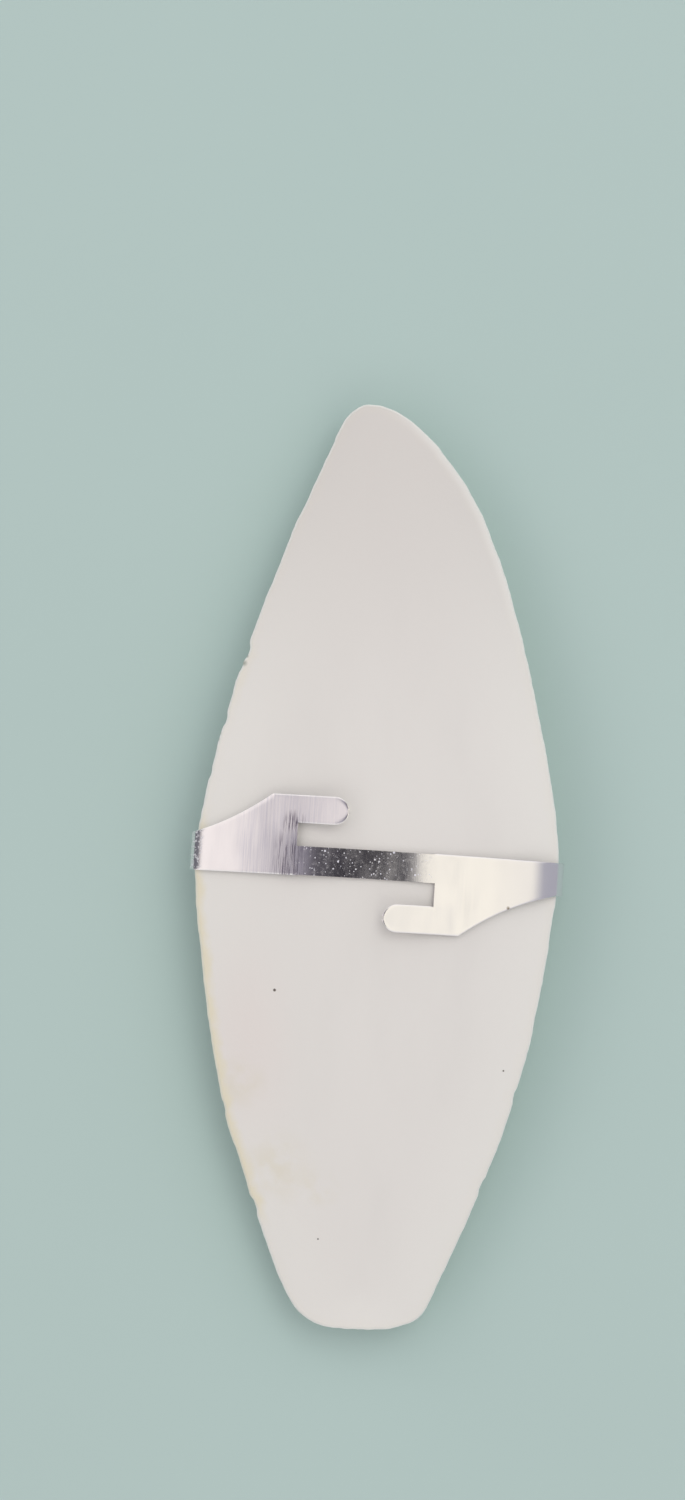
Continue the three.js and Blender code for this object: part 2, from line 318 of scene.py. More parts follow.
# Painted reflection: the right plate greys towards its fold
RIGHT_FOLD_REFLECTION_U = (15.5, 23.0)
RIGHT_FOLD_REFLECTION_SHARE = 0.24
CREASE_U = -10.6
CREASE_REACH = (0.5, 2.8)
CREASE_SHARE = 0.8
CREASE_TO_V = (1.5, 4.5)
SMUDGE_PLACE = (-10.0, 5.0)
SMUDGE_REACH = (0.4, 2.2)
DUSTY_U = (8.0, 10.0)
DUSTY_V = (1.9, 2.2)
FILM_GRAIN = (0.6, 5, 0.7)
FILM_LEVELS = (0.5, 0.72)
FILM_SHARE = 0.14
CLUSTER_GRAIN = (1.6, 2)
CLUSTER_LEVELS = (0.35, 0.55)
CLUSTER_SHARES = (0.4, 1.0)
FOLD_DUST_U = (-22.7, -22.0)
FOLD_DUST_GRAIN = (0.5, 3, 0.7)
FOLD_DUST_LEVELS = (0.5, 0.64)
FOLD_DUST_SHARE = 0.55
FINE_SPECKS = (0.3, 0.4, 0.32)
COARSE_SPECKS = (0.62, 0.64, 0.28)
SPECK_EDGE = 0.08
DIRT_PLACE = (19.7, -4.6)
DIRT_REACH = (0.0, 0.36)

# Stage: a wide floor, and a key light whose size and place are in metres
FLOOR_SIZE = 8000
FLOOR_COLOUR = linear(192, 214, 210)
FLOOR_MOTTLE = 0.97
FLOOR_GRAIN = (60, 2)
FLOOR_ROUGHNESS = 0.9
KEY_POWER = 1.28
KEY_SIZE = 0.5
KEY_PLACE = (0.15, 0.3, 0.86)
PORT_COLOUR = (0.03, 0.028, 0.036, 1.0)

# Tent round the port, in the order it is laid on: the way, the degrees it fades in over, and its light
TENT = (
    ("right", (3.0, 10.0), (0.33, 0.33, 0.39, 1.0)),
    ("right", (5.5, 12.0), (1.07, 1.035, 0.94, 1.0)),
    ("left", (3.0, 16.0), (0.34, 0.32, 0.38, 1.0)),
    ("left", (19.0, 39.0), (1.05, 0.99, 0.985, 1.0)),
    ("ahead", (20.0, 40.0), (1.12, 1.1, 1.08, 1.0)),
    ("behind", (20.0, 40.0), (0.94, 0.93, 0.92, 1.0)),
    ("ahead", (42.0, 64.0), (0.52, 0.52, 0.55, 1.0)),
    ("behind", (42.0, 64.0), (0.52, 0.52, 0.55, 1.0)),
    ("right", (29.0, 52.0), (0.47, 0.47, 0.53, 1.0)),
    ("left", (50.0, 66.0), (0.16, 0.16, 0.19, 1.0)),
)


def smoothstep(value, low, high):
    share = np.clip((value - low) / (high - low), 0, 1)
    return share * share * (3 - 2 * share)


def perlin(points, size, seed):
    shifted = points / size + SEED_STEP * seed
    return np.array([noise.noise(p) for p in shifted])


def waves(points, layers, seed):
    """Soft random relief: each layer is a wavelength and a height."""
    return sum(height * perlin(points, size, seed + i) for i, (size, height) in enumerate(layers))


# Bone outline and heights


def corner_share(distance, corner):
    length, power = corner
    inward = np.clip(1 - distance / length, 0, 1)
    return (1 - inward**power) ** (1 / power)


def lens_half(y):
    is_front = y > WIDEST_Y
    reach = np.where(is_front, HALF_LENGTH - WIDEST_Y, HALF_LENGTH + WIDEST_Y)
    loss = np.where(is_front, FRONT_TAPER[0], REAR_TAPER[0])
    power = np.where(is_front, FRONT_TAPER[1], REAR_TAPER[1])
    return HALF_WIDTH * (1 - loss * (np.abs(y - WIDEST_Y) / reach) ** power)


def edge_x(y, side):
    """One side of the lens, with its two ends trimmed off and their corners rounded."""
    front_corner = FRONT_LEFT_CORNER if side < 0 else FRONT_RIGHT_CORNER
    distance = HALF_LENGTH - np.abs(y)
    front = corner_share(distance, front_corner)
    rear = corner_share(distance, REAR_CORNER)
    tip_x = np.where(y > 0, FRONT_TIP_X, 0)
    return tip_x + (side * lens_half(y) - tip_x) * np.where(y > 0, front, rear)


def margin_height(y):
    return MARGIN_HEIGHT - MARGIN_SAG * (y / HALF_LENGTH) ** 2


def back_height(x, y):
    camber = BACK_CAMBER * (lens_half(y) / HALF_WIDTH) ** CAMBER_TAPER
    return margin_height(y) + camber * (1 - np.abs(x / lens_half(y)) ** BACK_POWER)


def keel_height(y):
    is_front = y > BELLY_Y
    reach = np.where(is_front, HALF_LENGTH - BELLY_Y, HALF_LENGTH + BELLY_Y)
    height = np.where(is_front, FRONT_RISE[0], REAR_RISE[0])
    power = np.where(is_front, FRONT_RISE[1], REAR_RISE[1])
    return height * (np.abs(y - BELLY_Y) / reach) ** power - BELLY_FLATTENED


def growth_line(x, y):
    return y + LEDGE_BOW * (x / lens_half(y)) ** 2


def ledge_zone(x, y):
    start = smoothstep(y, LEDGES_FROM - LEDGE_SPACING, LEDGES_FROM)
    end = 1 - smoothstep(growth_line(x, y), LEDGES_TO - LEDGE_SPACING, LEDGES_TO)
    return start * end * (1 - smoothstep(np.abs(x) / lens_half(y), *LEDGE_FADE))


def trough(x, y):
    return TROUGH_DEPTH * np.exp(-((x / TROUGH_WIDTH) ** 2) - ((y - TROUGH_Y) / TROUGH_LENGTH) ** 2)


def cone_ridge(x, y):
    fade = smoothstep(y, *CONE_REAR_FADE) * (1 - smoothstep(y, *CONE_FRONT_FADE))
    ridge_x = CONE_SPREAD * np.sqrt(np.maximum(y - CONE_REAR_Y, 0))
    return CONE_HEIGHT * fade * np.exp(-(((np.abs(x) - ridge_x) / CONE_WIDTH) ** 2))


def ledge_steps(growth, spacing):
    """A softened sawtooth between -0.5 and 0.5."""
    phase = np.mod(growth / spacing, 1)
    return 0.5 - phase + smoothstep(phase, *LEDGE_RISE)


def belly_height(x, y, extra_relief=0.0):
    flange = margin_height(y) - EDGE_THICKNESS
    inward = np.minimum(np.abs(x) / (FLANGE_INSET * lens_half(y)), 1)
    swell = 1 - inward**FLANK_POWER
    ledges = LEDGE_DEPTH * ledge_zone(x, y) * ledge_steps(growth_line(x, y), LEDGE_SPACING)
    relief = ledges + trough(x, y) - cone_ridge(x, y) + extra_relief
    height = flange - (flange - keel_height(y)) * swell + relief * smoothstep(swell, 0, RELIEF_FADE)
    return np.maximum(height, 0)


# Bone mesh: a back and a belly skin over the same plan, joined by a narrow wall


def side_outline(side):
    """One side's plan points from rear to front: ragged ones, their outward directions, and plain ones."""
    y = HALF_LENGTH * np.sin(np.linspace(-np.pi / 2, np.pi / 2, OUTLINE_SAMPLES))
    x = edge_x(y, side)
    along = np.concatenate([[0], np.cumsum(np.hypot(np.diff(x), np.diff(y)))])
    even = np.linspace(0, along[-1], STATIONS)
    points = np.column_stack([np.interp(even, along, x), np.interp(even, along, y)])
    tangents = np.gradient(points, axis=0)
    tangents /= np.linalg.norm(tangents, axis=1)[:, None]
    outward = side * np.column_stack([tangents[:, 1], -tangents[:, 0]])
    outward[[0, -1]] = [[0, -1], [0, 1]]
    flat = np.column_stack([points, np.zeros(STATIONS)])
    own = np.zeros(STATIONS)
    for swell_side, swell_y, half_span, height in EDGE_SWELLS:
        if swell_side == side:
            own += height * np.exp(-(((points[:, 1] - swell_y) / half_span) ** 2))
    for chip_side, chip_y, half_span, depth in EDGE_CHIPS:
        if chip_side == side:
            own -= depth * np.exp(-(((points[:, 1] - chip_y) / half_span) ** CHIP_POWER))
    from_ends = np.minimum(even, along[-1] - even)
    offset = waves(flat, EDGE_WAVES, EDGE_SEED) + own * smoothstep(from_ends, 0, END_FADE)
    return points + outward * offset[:, None], outward, points


def ring_points(outline, outward, axis, inset):
    """Plan points on rays from the outline in to the axis, with their distances in from the outline."""
    edge = axis + inset * (outline - axis)
    length = np.linalg.norm(edge - axis, axis=1)
    outer = 1 - np.array(EDGE_RINGS)[None, :] / length[:, None]
    inner = outer[:, -1:] * (1 - np.arange(1, INNER_RINGS + 1) / INNER_RINGS)[None, :]
    shares = np.concatenate([outer, inner], axis=1)
    plan = axis[:, None, :] + shares[..., None] * (edge - axis)[:, None, :]
    distance = np.einsum("ijk,ik->ij", edge[:, None, :] - plan, outward)
    return plan, np.maximum(distance, 0)


def edge_drop(distance, radius):
    inward = np.clip(1 - distance / radius, 0, 1)
    return radius * (1 - np.sqrt(1 - inward**2))


def whole_width(left, right):
    """Joins rays from the left edge to the axis with rays from the axis to the right edge."""
    return np.concatenate([left, right[:, -2::-1]], axis=1)


def skin_plan(edges, axis, inset):
    """Plan points over the bone's whole width, with their distances in from its edge."""
    (left_plan, left_in), (right_plan, right_in) = (
        ring_points(outline, outward, axis, inset) for outline, outward in edges
    )
    return whole_width(left_plan, right_plan), whole_width(left_in, right_in)


def back_surface(plan, distance):
    x, y = plan[..., 0], plan[..., 1]
    flat = np.column_stack([x.ravel(), y.ravel(), np.zeros(x.size)])
    rough = waves(flat, BACK_WAVES, BACK_SEED).reshape(x.shape)
    rib_width = RIB_WIDTH[0] + RIB_WIDTH[1] * (y + HALF_LENGTH)
    rib = RIB_HEIGHT * np.exp(-((x / rib_width) ** 2))
    from_groove = (np.abs(x) - GROOVE_OUT * rib_width) / (GROOVE_WIDTH * rib_width)
    groove = GROOVE_DEPTH * np.exp(-(from_groove**2))
    return back_height(x, y) + rib - groove + rough - edge_drop(distance, BACK_ROUND)


def belly_surface(plan, distance):
    x, y = plan[..., 0], plan[..., 1]
    flat = np.column_stack([x.ravel(), y.ravel(), np.zeros(x.size)])
    growth = growth_line(x, y) + waves(flat, FINE_LEDGE_WOBBLE, LEDGE_SEED).reshape(x.shape)
    fine = FINE_LEDGE_DEPTH * ledge_zone(x, y) * ledge_steps(growth, FINE_LEDGE_SPACING)
    rough = waves(flat, BELLY_WAVES, BELLY_SEED).reshape(x.shape)
    height = belly_height(x, y, fine + rough) + edge_drop(distance, BELLY_ROUND)
    return height, growth


def grid_faces(ids, flipped):
    a, b = ids[:-1, :-1].ravel(), ids[:-1, 1:].ravel()
    c, d = ids[1:, 1:].ravel(), ids[1:, :-1].ravel()
    return np.column_stack([a, d, c, b] if flipped else [a, b, c, d])


def wall_rows(top, bottom, outward, steps):
    """Slightly rough rows of points between the back's edge and the belly's."""
    rows = top[:, None] + steps[None, :, None] * (bottom - top)[:, None]
    bumps = waves(rows.reshape(-1, 3), WALL_WAVES, WALL_SEED).reshape(rows.shape[:2])
    rows[..., :2] += outward[:, None, :] * bumps[..., None]
    return rows


def rim_strength(points):
    """How strongly the thin horny rim shows at each point: most along the left edge's rear half."""
    x, y = points[:, 0], points[:, 1]
    strength = np.full(len(points), RIM_FAINT)
    for side, rear, front, share in RIM_STRETCHES:
        span = smoothstep(y, rear - RIM_FADE, rear) * (1 - smoothstep(y, front, front + RIM_FADE))
        strength = np.maximum(strength, np.where(side * x > 0, share * span, 0))
    return strength


def bone_arrays():
    """Points, faces and shading values of the bone, in millimetres."""
    left, left_out, plain_left = side_outline(-1)
    right, right_out, plain_right = side_outline(1)
    axis_y = AXIS_SHARE * (plain_left[:, 1] + plain_right[:, 1]) / 2
    axis = np.column_stack([FRONT_TIP_X * smoothstep(axis_y, *AXIS_BEND), axis_y])
    edges = ((left, left_out), (right, right_out))
    back_plan, back_in = skin_plan(edges, axis, 1)
    belly_plan, belly_in = skin_plan(edges, axis, EDGE_UNDERCUT)
    back_z = back_surface(back_plan, back_in)
    belly_z, belly_growth = belly_surface(belly_plan, belly_in)
    back = np.concatenate([back_plan, back_z[..., None]], axis=2)
    belly = np.concatenate([belly_plan, belly_z[..., None]], axis=2)

    columns = back.shape[1]
    count = STATIONS * columns
    back_ids = np.arange(count).reshape(STATIONS, columns)
    belly_ids = back_ids + count
    points = [back.reshape(-1, 3), belly.reshape(-1, 3)]
    inward = [back_in.ravel(), belly_in.ravel()]
    under = [np.zeros(count), np.ones(count)]
    ledged = [np.zeros(count), ledge_zone(belly[..., 0], belly[..., 1]).ravel()]
    growth = [growth_line(back[..., 0], back[..., 1]).ravel(), belly_growth.ravel()]
    faces = [grid_faces(back_ids, False), grid_faces(belly_ids, True)]

    made = 2 * count
    steps = np.linspace(0, 1, WALL_ROWS + 1)[1:-1]
    for column, outward, flipped in ((0, left_out, True), (-1, right_out, False)):
        rows = wall_rows(back[:, column], belly[:, column], outward, steps)
        row_ids = made + np.arange(rows.shape[0] * rows.shape[1]).reshape(rows.shape[:2])
        made += row_ids.size
        ids = np.concatenate([back_ids[:, [column]], row_ids, belly_ids[:, [column]]], axis=1)
        points.append(rows.reshape(-1, 3))
        inward.append(np.zeros(row_ids.size))
        under.append(np.tile(steps, STATIONS))
        ledged.append(np.zeros(row_ids.size))
        growth.append(growth_line(rows[..., 0], rows[..., 1]).ravel())
        faces.append(grid_faces(ids, flipped))
    values = {"inward": inward, "under": under, "ledged": ledged, "growth": growth}
    joined = {name: np.concatenate(parts) for name, parts in values.items()}
    points = np.concatenate(points)
    joined["rim"] = rim_strength(points)
    return points, np.concatenate(faces), joined


# Meshes


def mesh_object(name, points, faces, values, vectors=None):
    """A smooth-shaded object in metres, with one number or vector per point for its material to read."""
    mesh = bpy.data.meshes.new(name)
    mesh.from_pydata((points * MM).tolist(), [], faces.tolist())
    for key, numbers in values.items():
        layer = mesh.attributes.new(key, "FLOAT", "POINT")
        layer.data.foreach_set("value", np.asarray(numbers, np.float32))
    for key, numbers in (vectors or {}).items():
        layer = mesh.attributes.new(key, "FLOAT_VECTOR", "POINT")
        layer.data.foreach_set("vector", np.asarray(numbers, np.float32).ravel())
    welded = bmesh.new()
    welded.from_mesh(mesh)
    bmesh.ops.remove_doubles(welded, verts=welded.verts, dist=WELD_DISTANCE)
    welded.to_mesh(mesh)
    welded.free()
    mesh.shade_smooth()
    made = bpy.data.objects.new(name, mesh)
    bpy.context.scene.collection.objects.link(made)
    return made


def make_bone():
    points, faces, values = bone_arrays()
    bone = mesh_object("chalky_bone", points, faces, values)
    bone.data.materials.append(bone_material())
    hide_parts("bone")
    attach(bone, "root")


# Clip mesh: the middle of the sheet, in strips, then thickened


def bezier(start, via, end, count):
    t = np.linspace(0, 1, count)[:, None]
    return (1 - t) ** 2 * start + 2 * t * (1 - t) * via + t**2 * end


def evenly(line, step):
    along = np.concatenate([[0], np.cumsum(np.linalg.norm(np.diff(line, axis=0), axis=1))])
    even = np.linspace(0, along[-1], int(along[-1] / step) + 1)
    return np.column_stack([np.interp(even, along, line[:, i]) for i in range(line.shape[1])])


def soften(line, width):
    """Rounds a line's corners by averaging it along its length; its ends stay where they are."""
    reach = int(SOFTEN_REACH * width / PROFILE_STEP)
    weights = np.exp(-0.5 * (np.arange(-reach, reach + 1) * PROFILE_STEP / width) ** 2)
    weights /= weights.sum()
    before = 2 * line[0] - line[reach:0:-1]
    after = 2 * line[-1] - line[-2 : -reach - 2 : -1]
    padded = np.concatenate([before, line, after])
    return np.column_stack([np.convolve(padded[:, i], weights, "valid") for i in range(line.shape[1])])


def strap_height(u):
    """The strap lies just clear of the bone's back and bows down a little towards its ends."""
    return float(back_height(0.0, CLIP_Y)) + STAND_OFF - STRAP_BOW * u**2


def bone_edge(side):
    """The bone's edge at the clip: how far out from the clip's middle it is, and its height."""
    out = side * (float(edge_x(CLIP_Y, side)) - CLIP_X)
    return out, float(margin_height(CLIP_Y))


def plate_line(side):
    """The plate's side view, from the strap's bend to where it starts to fold over the bone's edge."""
    out, margin = bone_edge(side)
    bend = np.array([BEND_AT[side], strap_height(BEND_AT[side])])
    end = np.array([out + STAND_OFF - FOLD_RUN[side], margin + STAND_OFF + FOLD_LIFT[side]])
    via = (bend + end) / 2 + [0, PLATE_BULGE[side]]
    return bezier(bend, via, end, CURVE_POINTS)


def fold_line(side, plate):
    """The fold's side view: it rounds the bone's edge from the plate's end, in one smooth turn."""
    fall = FOLD_RUN[side] * (plate[-2, 1] - plate[-1, 1]) / (plate[-1, 0] - plate[-2, 0])
    turn = np.linspace(0, np.pi / 2, CURVE_POINTS)
    out = plate[-1, 0] + FOLD_RUN[side] * np.sin(turn)
    height = plate[-1, 1] - fall * np.sin(turn) - FOLD_DROP[side] * (1 - np.cos(turn))
    return np.column_stack([out, height])


def hook_height(plate, u):
    """The hook leaves the plate straight on, without the strap's bend."""
    return np.interp(HOOK_FROM, plate[:, 0], plate[:, 1]) + HOOK_RISE * (HOOK_FROM - u)


def half_profile(side):
    """Side view of half the clip, from the strap's middle round the bone's edge to the tab's tip."""
    plate = plate_line(side)
    edge = float(edge_x(CLIP_Y, side))
    out, margin = bone_edge(side)
    lower = [out + STAND_OFF, margin - EDGE_THICKNESS - STAND_OFF - CLIP_GAP]
    tab = []
    for across in TAB_ACROSS:
        height = float(belly_height(across * edge, CLIP_Y)) - TAB_STAND_OFF
        tab.append([side * (across * edge - CLIP_X), height])
    strap_u = np.linspace(0, BEND_AT[side], CURVE_POINTS)
    strap = np.column_stack([strap_u, strap_height(strap_u)])
    top = soften(evenly(np.array([*strap, *plate[1:]]), PROFILE_STEP), BEND_SOFTNESS[side])
    line = evenly(np.array([*top, *fold_line(side, plate)[1:], lower, *tab]), PROFILE_STEP)
    return soften(line, FOLD_SOFTNESS)


def station_indices(profile):
    """Stations along the profile, with one exactly at the slot's end and one at the shoulder."""
    outermost = int(np.argmax(profile[:, 0]))
    marks = [0]
    for u in (SLOT_END, SHOULDER):
        marks.append(int(np.argmin(np.abs(profile[:outermost, 0] - u))))
    marks.append(len(profile) - 1)
    stations = [0]
    for low, high in zip(marks, marks[1:]):
        count = max(1, round((high - low) * PROFILE_STEP / STATION_STEP))
        stations += np.linspace(low, high, count + 1).round().astype(int)[1:].tolist()
    return np.array(stations), marks[1], outermost


def lower_edge(u):
    """The plate's stepped outline: straight along the hook, then a hollow slope down to the waist."""
    t = np.clip((u - SHOULDER) / (WAIST_FROM - SHOULDER), 0, 1)
    slope = (1 - t) ** 2 * FINGER_OUTER + 2 * t * (1 - t) * WAIST_VIA_HALF + t**2 * WAIST_HALF
    return -slope


def strip_vertices(u, z, v_from, v_to, columns):
    """Rows of points across the strip, closest near its edges; z holds both edges' heights."""
    shares = (1 - np.cos(np.linspace(0, np.pi, columns + 1)))[None, :] / 2
    v = v_from[:, None] + shares * (v_to - v_from)[:, None]
    heights = z[0][:, None] + shares * (z[1] - z[0])[:, None]
    return np.stack([np.broadcast_to(u[:, None], v.shape), v, heights], axis=2)


def strip_edges(u, is_tab):
    """The strip's two edges at each station, and the line that parts the strap from the hook's plate."""
    root, tip = u[is_tab][0], u[is_tab][-1]
    narrowing = np.where(is_tab, np.clip((root - u) / (root - tip - TAB_TIP_HALF), 0, 1), 0)
    into_tip = np.clip((tip + TAB_TIP_HALF - u) / TAB_TIP_HALF, 0, TAB_TIP_ROUNDED)
    tip_round = np.where(is_tab, np.sqrt(1 - into_tip**2), 1)
    high = (STRAP_HALF + narrowing * (TAB_TIP_HALF - STRAP_HALF)) * tip_round
    low = np.where(u < SLOT_END - SLOT_TOLERANCE, -STRAP_HALF, lower_edge(u))
    root_low = low[~is_tab][-1]
    tab_low = root_low + narrowing * (-TAB_TIP_HALF - root_low)
    low = np.where(is_tab, tab_low, low) * tip_round
    neck = np.where(is_tab, low * STRAP_HALF / -root_low, -STRAP_HALF)
    return high, low, neck


def finger_strip(plate, root_u):
    """The hook's finger, from its round tip to the slot's end."""
    turn = np.radians(np.linspace(*FINGER_TIP_TURN, TIP_STEPS))
    tip_u = FINGER_TIP + FINGER_RADIUS * (1 - np.cos(turn))
    count = round((SLOT_END - tip_u[-1]) / STATION_STEP)
    rest_u = np.linspace(tip_u[-1], root_u, count + 1)[1:]
    u = np.concatenate([tip_u, rest_u])
    half = np.concatenate([FINGER_RADIUS * np.sin(turn), np.full(count, FINGER_RADIUS)])
    z = hook_height(plate, u) + FINGER_CURL * (root_u - u) ** 2
    middle = -(FINGER_INNER + FINGER_OUTER) / 2
    return strip_vertices(u, (z, z), middle + half, middle - half, FINGER_COLUMNS)


def half_strips(side):
    """The strips of one half of the clip, as grids of points in its own frame."""
    profile = half_profile(side)
    stations, slot_mark, outermost = station_indices(profile)
    u, z = profile[stations, 0], profile[stations, 1]
    is_tab = stations > outermost
    high, low, neck = strip_edges(u, is_tab)
    strips = [strip_vertices(u, (z, z), high, neck, STRAP_COLUMNS)]

    on_plate = stations >= slot_mark
    u, z, low, neck = u[on_plate], z[on_plate], low[on_plate], neck[on_plate]
    low[0] = -FINGER_OUTER
    plate = plate_line(side)
    hooked = 1 - smoothstep(u, HOOK_FROM - HOOK_BLEND, HOOK_FROM + HOOK_BLEND)
    hook_z = np.where(is_tab[on_plate], z, z + hooked * (hook_height(plate, u) - z))
    split = neck + (low - neck) * (FINGER_INNER - STRAP_HALF) / (FINGER_OUTER - STRAP_HALF)
    strips.append(strip_vertices(u, (z, hook_z), neck, split, NECK_COLUMNS))
    strips.append(strip_vertices(u, (hook_z, hook_z), split, low, FINGER_COLUMNS))
    strips.append(finger_strip(plate, u[0]))
    return strips


def clip_arrays():
    """Points and faces of the clip's sheet, in millimetres, and each point's place on the flat strip."""
    points, sheets, faces = [], [], []
    made = 0
    for side in (1, -1):
        for strip in half_strips(side):
            ids = made + np.arange(strip.shape[0] * strip.shape[1]).reshape(strip.shape[:2])
            made += ids.size
            flat = strip.reshape(-1, 3) * [side, side, 1]
            points.append(flat)
            faces.append(grid_faces(ids, False))
            sheets.append(np.column_stack([flat[:, :2], np.zeros(len(flat))]))
    points, sheets = np.concatenate(points), np.concatenate(sheets)
    points[:, 1] += PLAN_BOW * (1 - (points[:, 0] / PLAN_BOW_REACH) ** 2)
    points[:, 2] += waves(sheets, SHEET_WARP, SHEET_SEED)
    cos, sin = math.cos(CLIP_SKEW), math.sin(CLIP_SKEW)
    turned = points.copy()
    turned[:, 0] = CLIP_X + cos * points[:, 0] - sin * points[:, 1]
    turned[:, 1] = CLIP_Y + sin * points[:, 0] + cos * points[:, 1]
    return turned, np.concatenate(faces), sheets


def is_on_strap(place):
    """Whether a place on the flat strip is on its strap, between the slots' ends."""
    return abs(place.x) <= SLOT_END and abs(place.y) <= STRAP_SLACK * STRAP_HALF


def roll_edges(mesh):
    """Turns the hooks' long free edges in towards the bone a little, as stamping leaves them."""
    width, depth = EDGE_ROLL
    sheet = bmesh.new()
    sheet.from_mesh(mesh)
    sheet.normal_update()
    place = sheet.verts.layers.float_vector["sheet"]
    rims = []
    for edge in sheet.edges:
        if edge.is_boundary and not all(is_on_strap(vert[place]) for vert in edge.verts):
            rims.append(edge)
    starts = np.array([edge.verts[0].co for edge in rims])
    ways = np.array([edge.verts[1].co - edge.verts[0].co for edge in rims])
    lengths = np.linalg.norm(ways, axis=1)
    lengthwise = np.abs(ways[:, 0]) / lengths
    moves = []
    for vert in sheet.verts:
        offset = np.array(vert.co) - starts
        along = np.clip((offset * ways).sum(axis=1) / lengths**2, 0, 1)
        gaps = np.linalg.norm(offset - along[:, None] * ways, axis=1) / MM
        nearest = int(np.argmin(gaps))
        share = lengthwise[nearest] * max(1 - gaps[nearest] / width, 0) ** 2
        moves.append(vert.normal * (depth * MM * share))
    for vert, move in zip(sheet.verts, moves):
        vert.co -= move
    sheet.to_mesh(mesh)
    sheet.free()


def thicken(clip):
    """Gives the sheet its thickness, with crisp edges."""
    modifier = clip.modifiers.new("sheet_thickness", "SOLIDIFY")
    modifier.thickness = SHEET * MM
    modifier.offset = 0
    graph = bpy.context.evaluated_depsgraph_get()
    solid = bpy.data.meshes.new_from_object(clip.evaluated_get(graph))
    clip.modifiers.clear()
    clip.data = solid
    solid.set_sharp_from_angle(angle=SHARP_ANGLE)


def make_clip():
    points, faces, sheets = clip_arrays()
    clip = mesh_object("stamped_clip", points, faces, {}, {"sheet": sheets})
    roll_edges(clip.data)
    thicken(clip)
    clip.data.materials.append(metal_material())
    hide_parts("clip")
    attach(clip, "root")


# Material helpers


def add_node(tree, kind, inputs, **settings):
    made = tree.nodes.new(kind)
    for name, value in settings.items():
        setattr(made, name, value)
    for key, value in inputs.items():
        if isinstance(value, bpy.types.NodeSocket):
            tree.links.new(value, made.inputs[key])
        else:
            made.inputs[key].default_value = value
    return made


def calc(tree, operation, first, second=0.0):
    return add_node(tree, "ShaderNodeMath", {0: first, 1: second}, operation=operation).outputs[0]


def remap(tree, value, low, high, to_low=0.0, to_high=1.0):
    inputs = {0: value, 1: low, 2: high, 3: to_low, 4: to_high}
    made = add_node(tree, "ShaderNodeMapRange", inputs, interpolation_type="SMOOTHSTEP")
    return made.outputs[0]


def blend(tree, share, first, second):
    inputs = {0: share, 6: first, 7: second}
    return add_node(tree, "ShaderNodeMix", inputs, data_type="RGBA").outputs[2]


def stored(tree, name, output="Fac"):
    return add_node(tree, "ShaderNodeAttribute", {}, attribute_name=name).outputs[output]


def grain(tree, place, size, detail=3.0, rough=0.5):
    inputs = {"Vector": place, "Scale": 1 / size, "Detail": detail, "Roughness": rough}
    return add_node(tree, "ShaderNodeTexNoise", inputs).outputs["Fac"]


def in_millimetres(tree):
    place = add_node(tree, "ShaderNodeTexCoord", {}).outputs["Object"]
    inputs = {0: place, "Scale": 1 / MM}
    return add_node(tree, "ShaderNodeVectorMath", inputs, operation="SCALE").outputs[0]


def stretched(tree, place, factors):
    return add_node(tree, "ShaderNodeVectorMath", {0: place, 1: factors}, operation="MULTIPLY").outputs[0]


def spot(tree, place, centre, inner, outer):
    """One inside a round spot, falling to nothing at its outer radius."""
    inputs = {0: place, 1: (*centre, 0.0)}
    distance = add_node(tree, "ShaderNodeVectorMath", inputs, operation="DISTANCE").outputs["Value"]
    return remap(tree, distance, inner, outer, 1.0, 0.0)


def new_material(name):
    made = bpy.data.materials.new(name)
    made.use_nodes = True
    tree = made.node_tree
    return made, tree, tree.nodes["Principled BSDF"]


def feed(tree, shader, name, value):
    tree.links.new(value, shader.inputs[name])


def bump(tree, height, distance, strength, normal=None):
    inputs = {"Height": height, "Distance": distance * MM, "Strength": strength}
    if normal is not None:
        inputs["Normal"] = normal
    return add_node(tree, "ShaderNodeBump", inputs).outputs[0]


# Bone material


def back_colours(tree, place, flat_place):
    """Near-even chalk with faint clouds, margins painted paler (partly paler chalk, partly painted light),
    a blush, a front end painted darker as painted shade, and a few stains.
    """
    clouds = grain(tree, stretched(tree, place, CLOUD_STRETCH), *CLOUD_GRAIN)
    cloudy = remap(tree, clouds, *CLOUD_LEVELS, 0.0, CLOUD_SHARE)
    colour = blend(tree, cloudy, BACK_COLOUR, SHADE_COLOUR)
    # Paler margins: partly paler chalk, partly painted light
    margin = remap(tree, stored(tree, "inward"), *MARGIN_REACH, MARGIN_SHARE, 0.0)
    colour = blend(tree, margin, colour, PALE_MARGIN_AND_LIGHT_COLOUR)
    shortened = stretched(tree, place, BLUSH_STRETCH)
    for centre in BLUSH_PLACES:
        share = calc(tree, "MULTIPLY", spot(tree, shortened, centre, *BLUSH_REACH), BLUSH_SHARE)
        colour = blend(tree, share, colour, BLUSH_COLOUR)
    # Painted shade: darker towards the front end
    forward = add_node(tree, "ShaderNodeSeparateXYZ", {0: flat_place}).outputs[1]
    colour = blend(tree, remap(tree, forward, *PAINTED_FRONT_SHADE_SPAN), colour, PAINTED_FRONT_SHADE_COLOUR)
    patchy = remap(tree, grain(tree, place, *STAIN_GRAIN), *STAIN_LEVELS, 0.0, STAIN_SHARE)
    for centre, inner, outer in STAINS:
        share = calc(tree, "MULTIPLY", spot(tree, flat_place, centre, inner, outer), patchy)
        colour = blend(tree, share, colour, STAIN_COLOUR)
    return colour


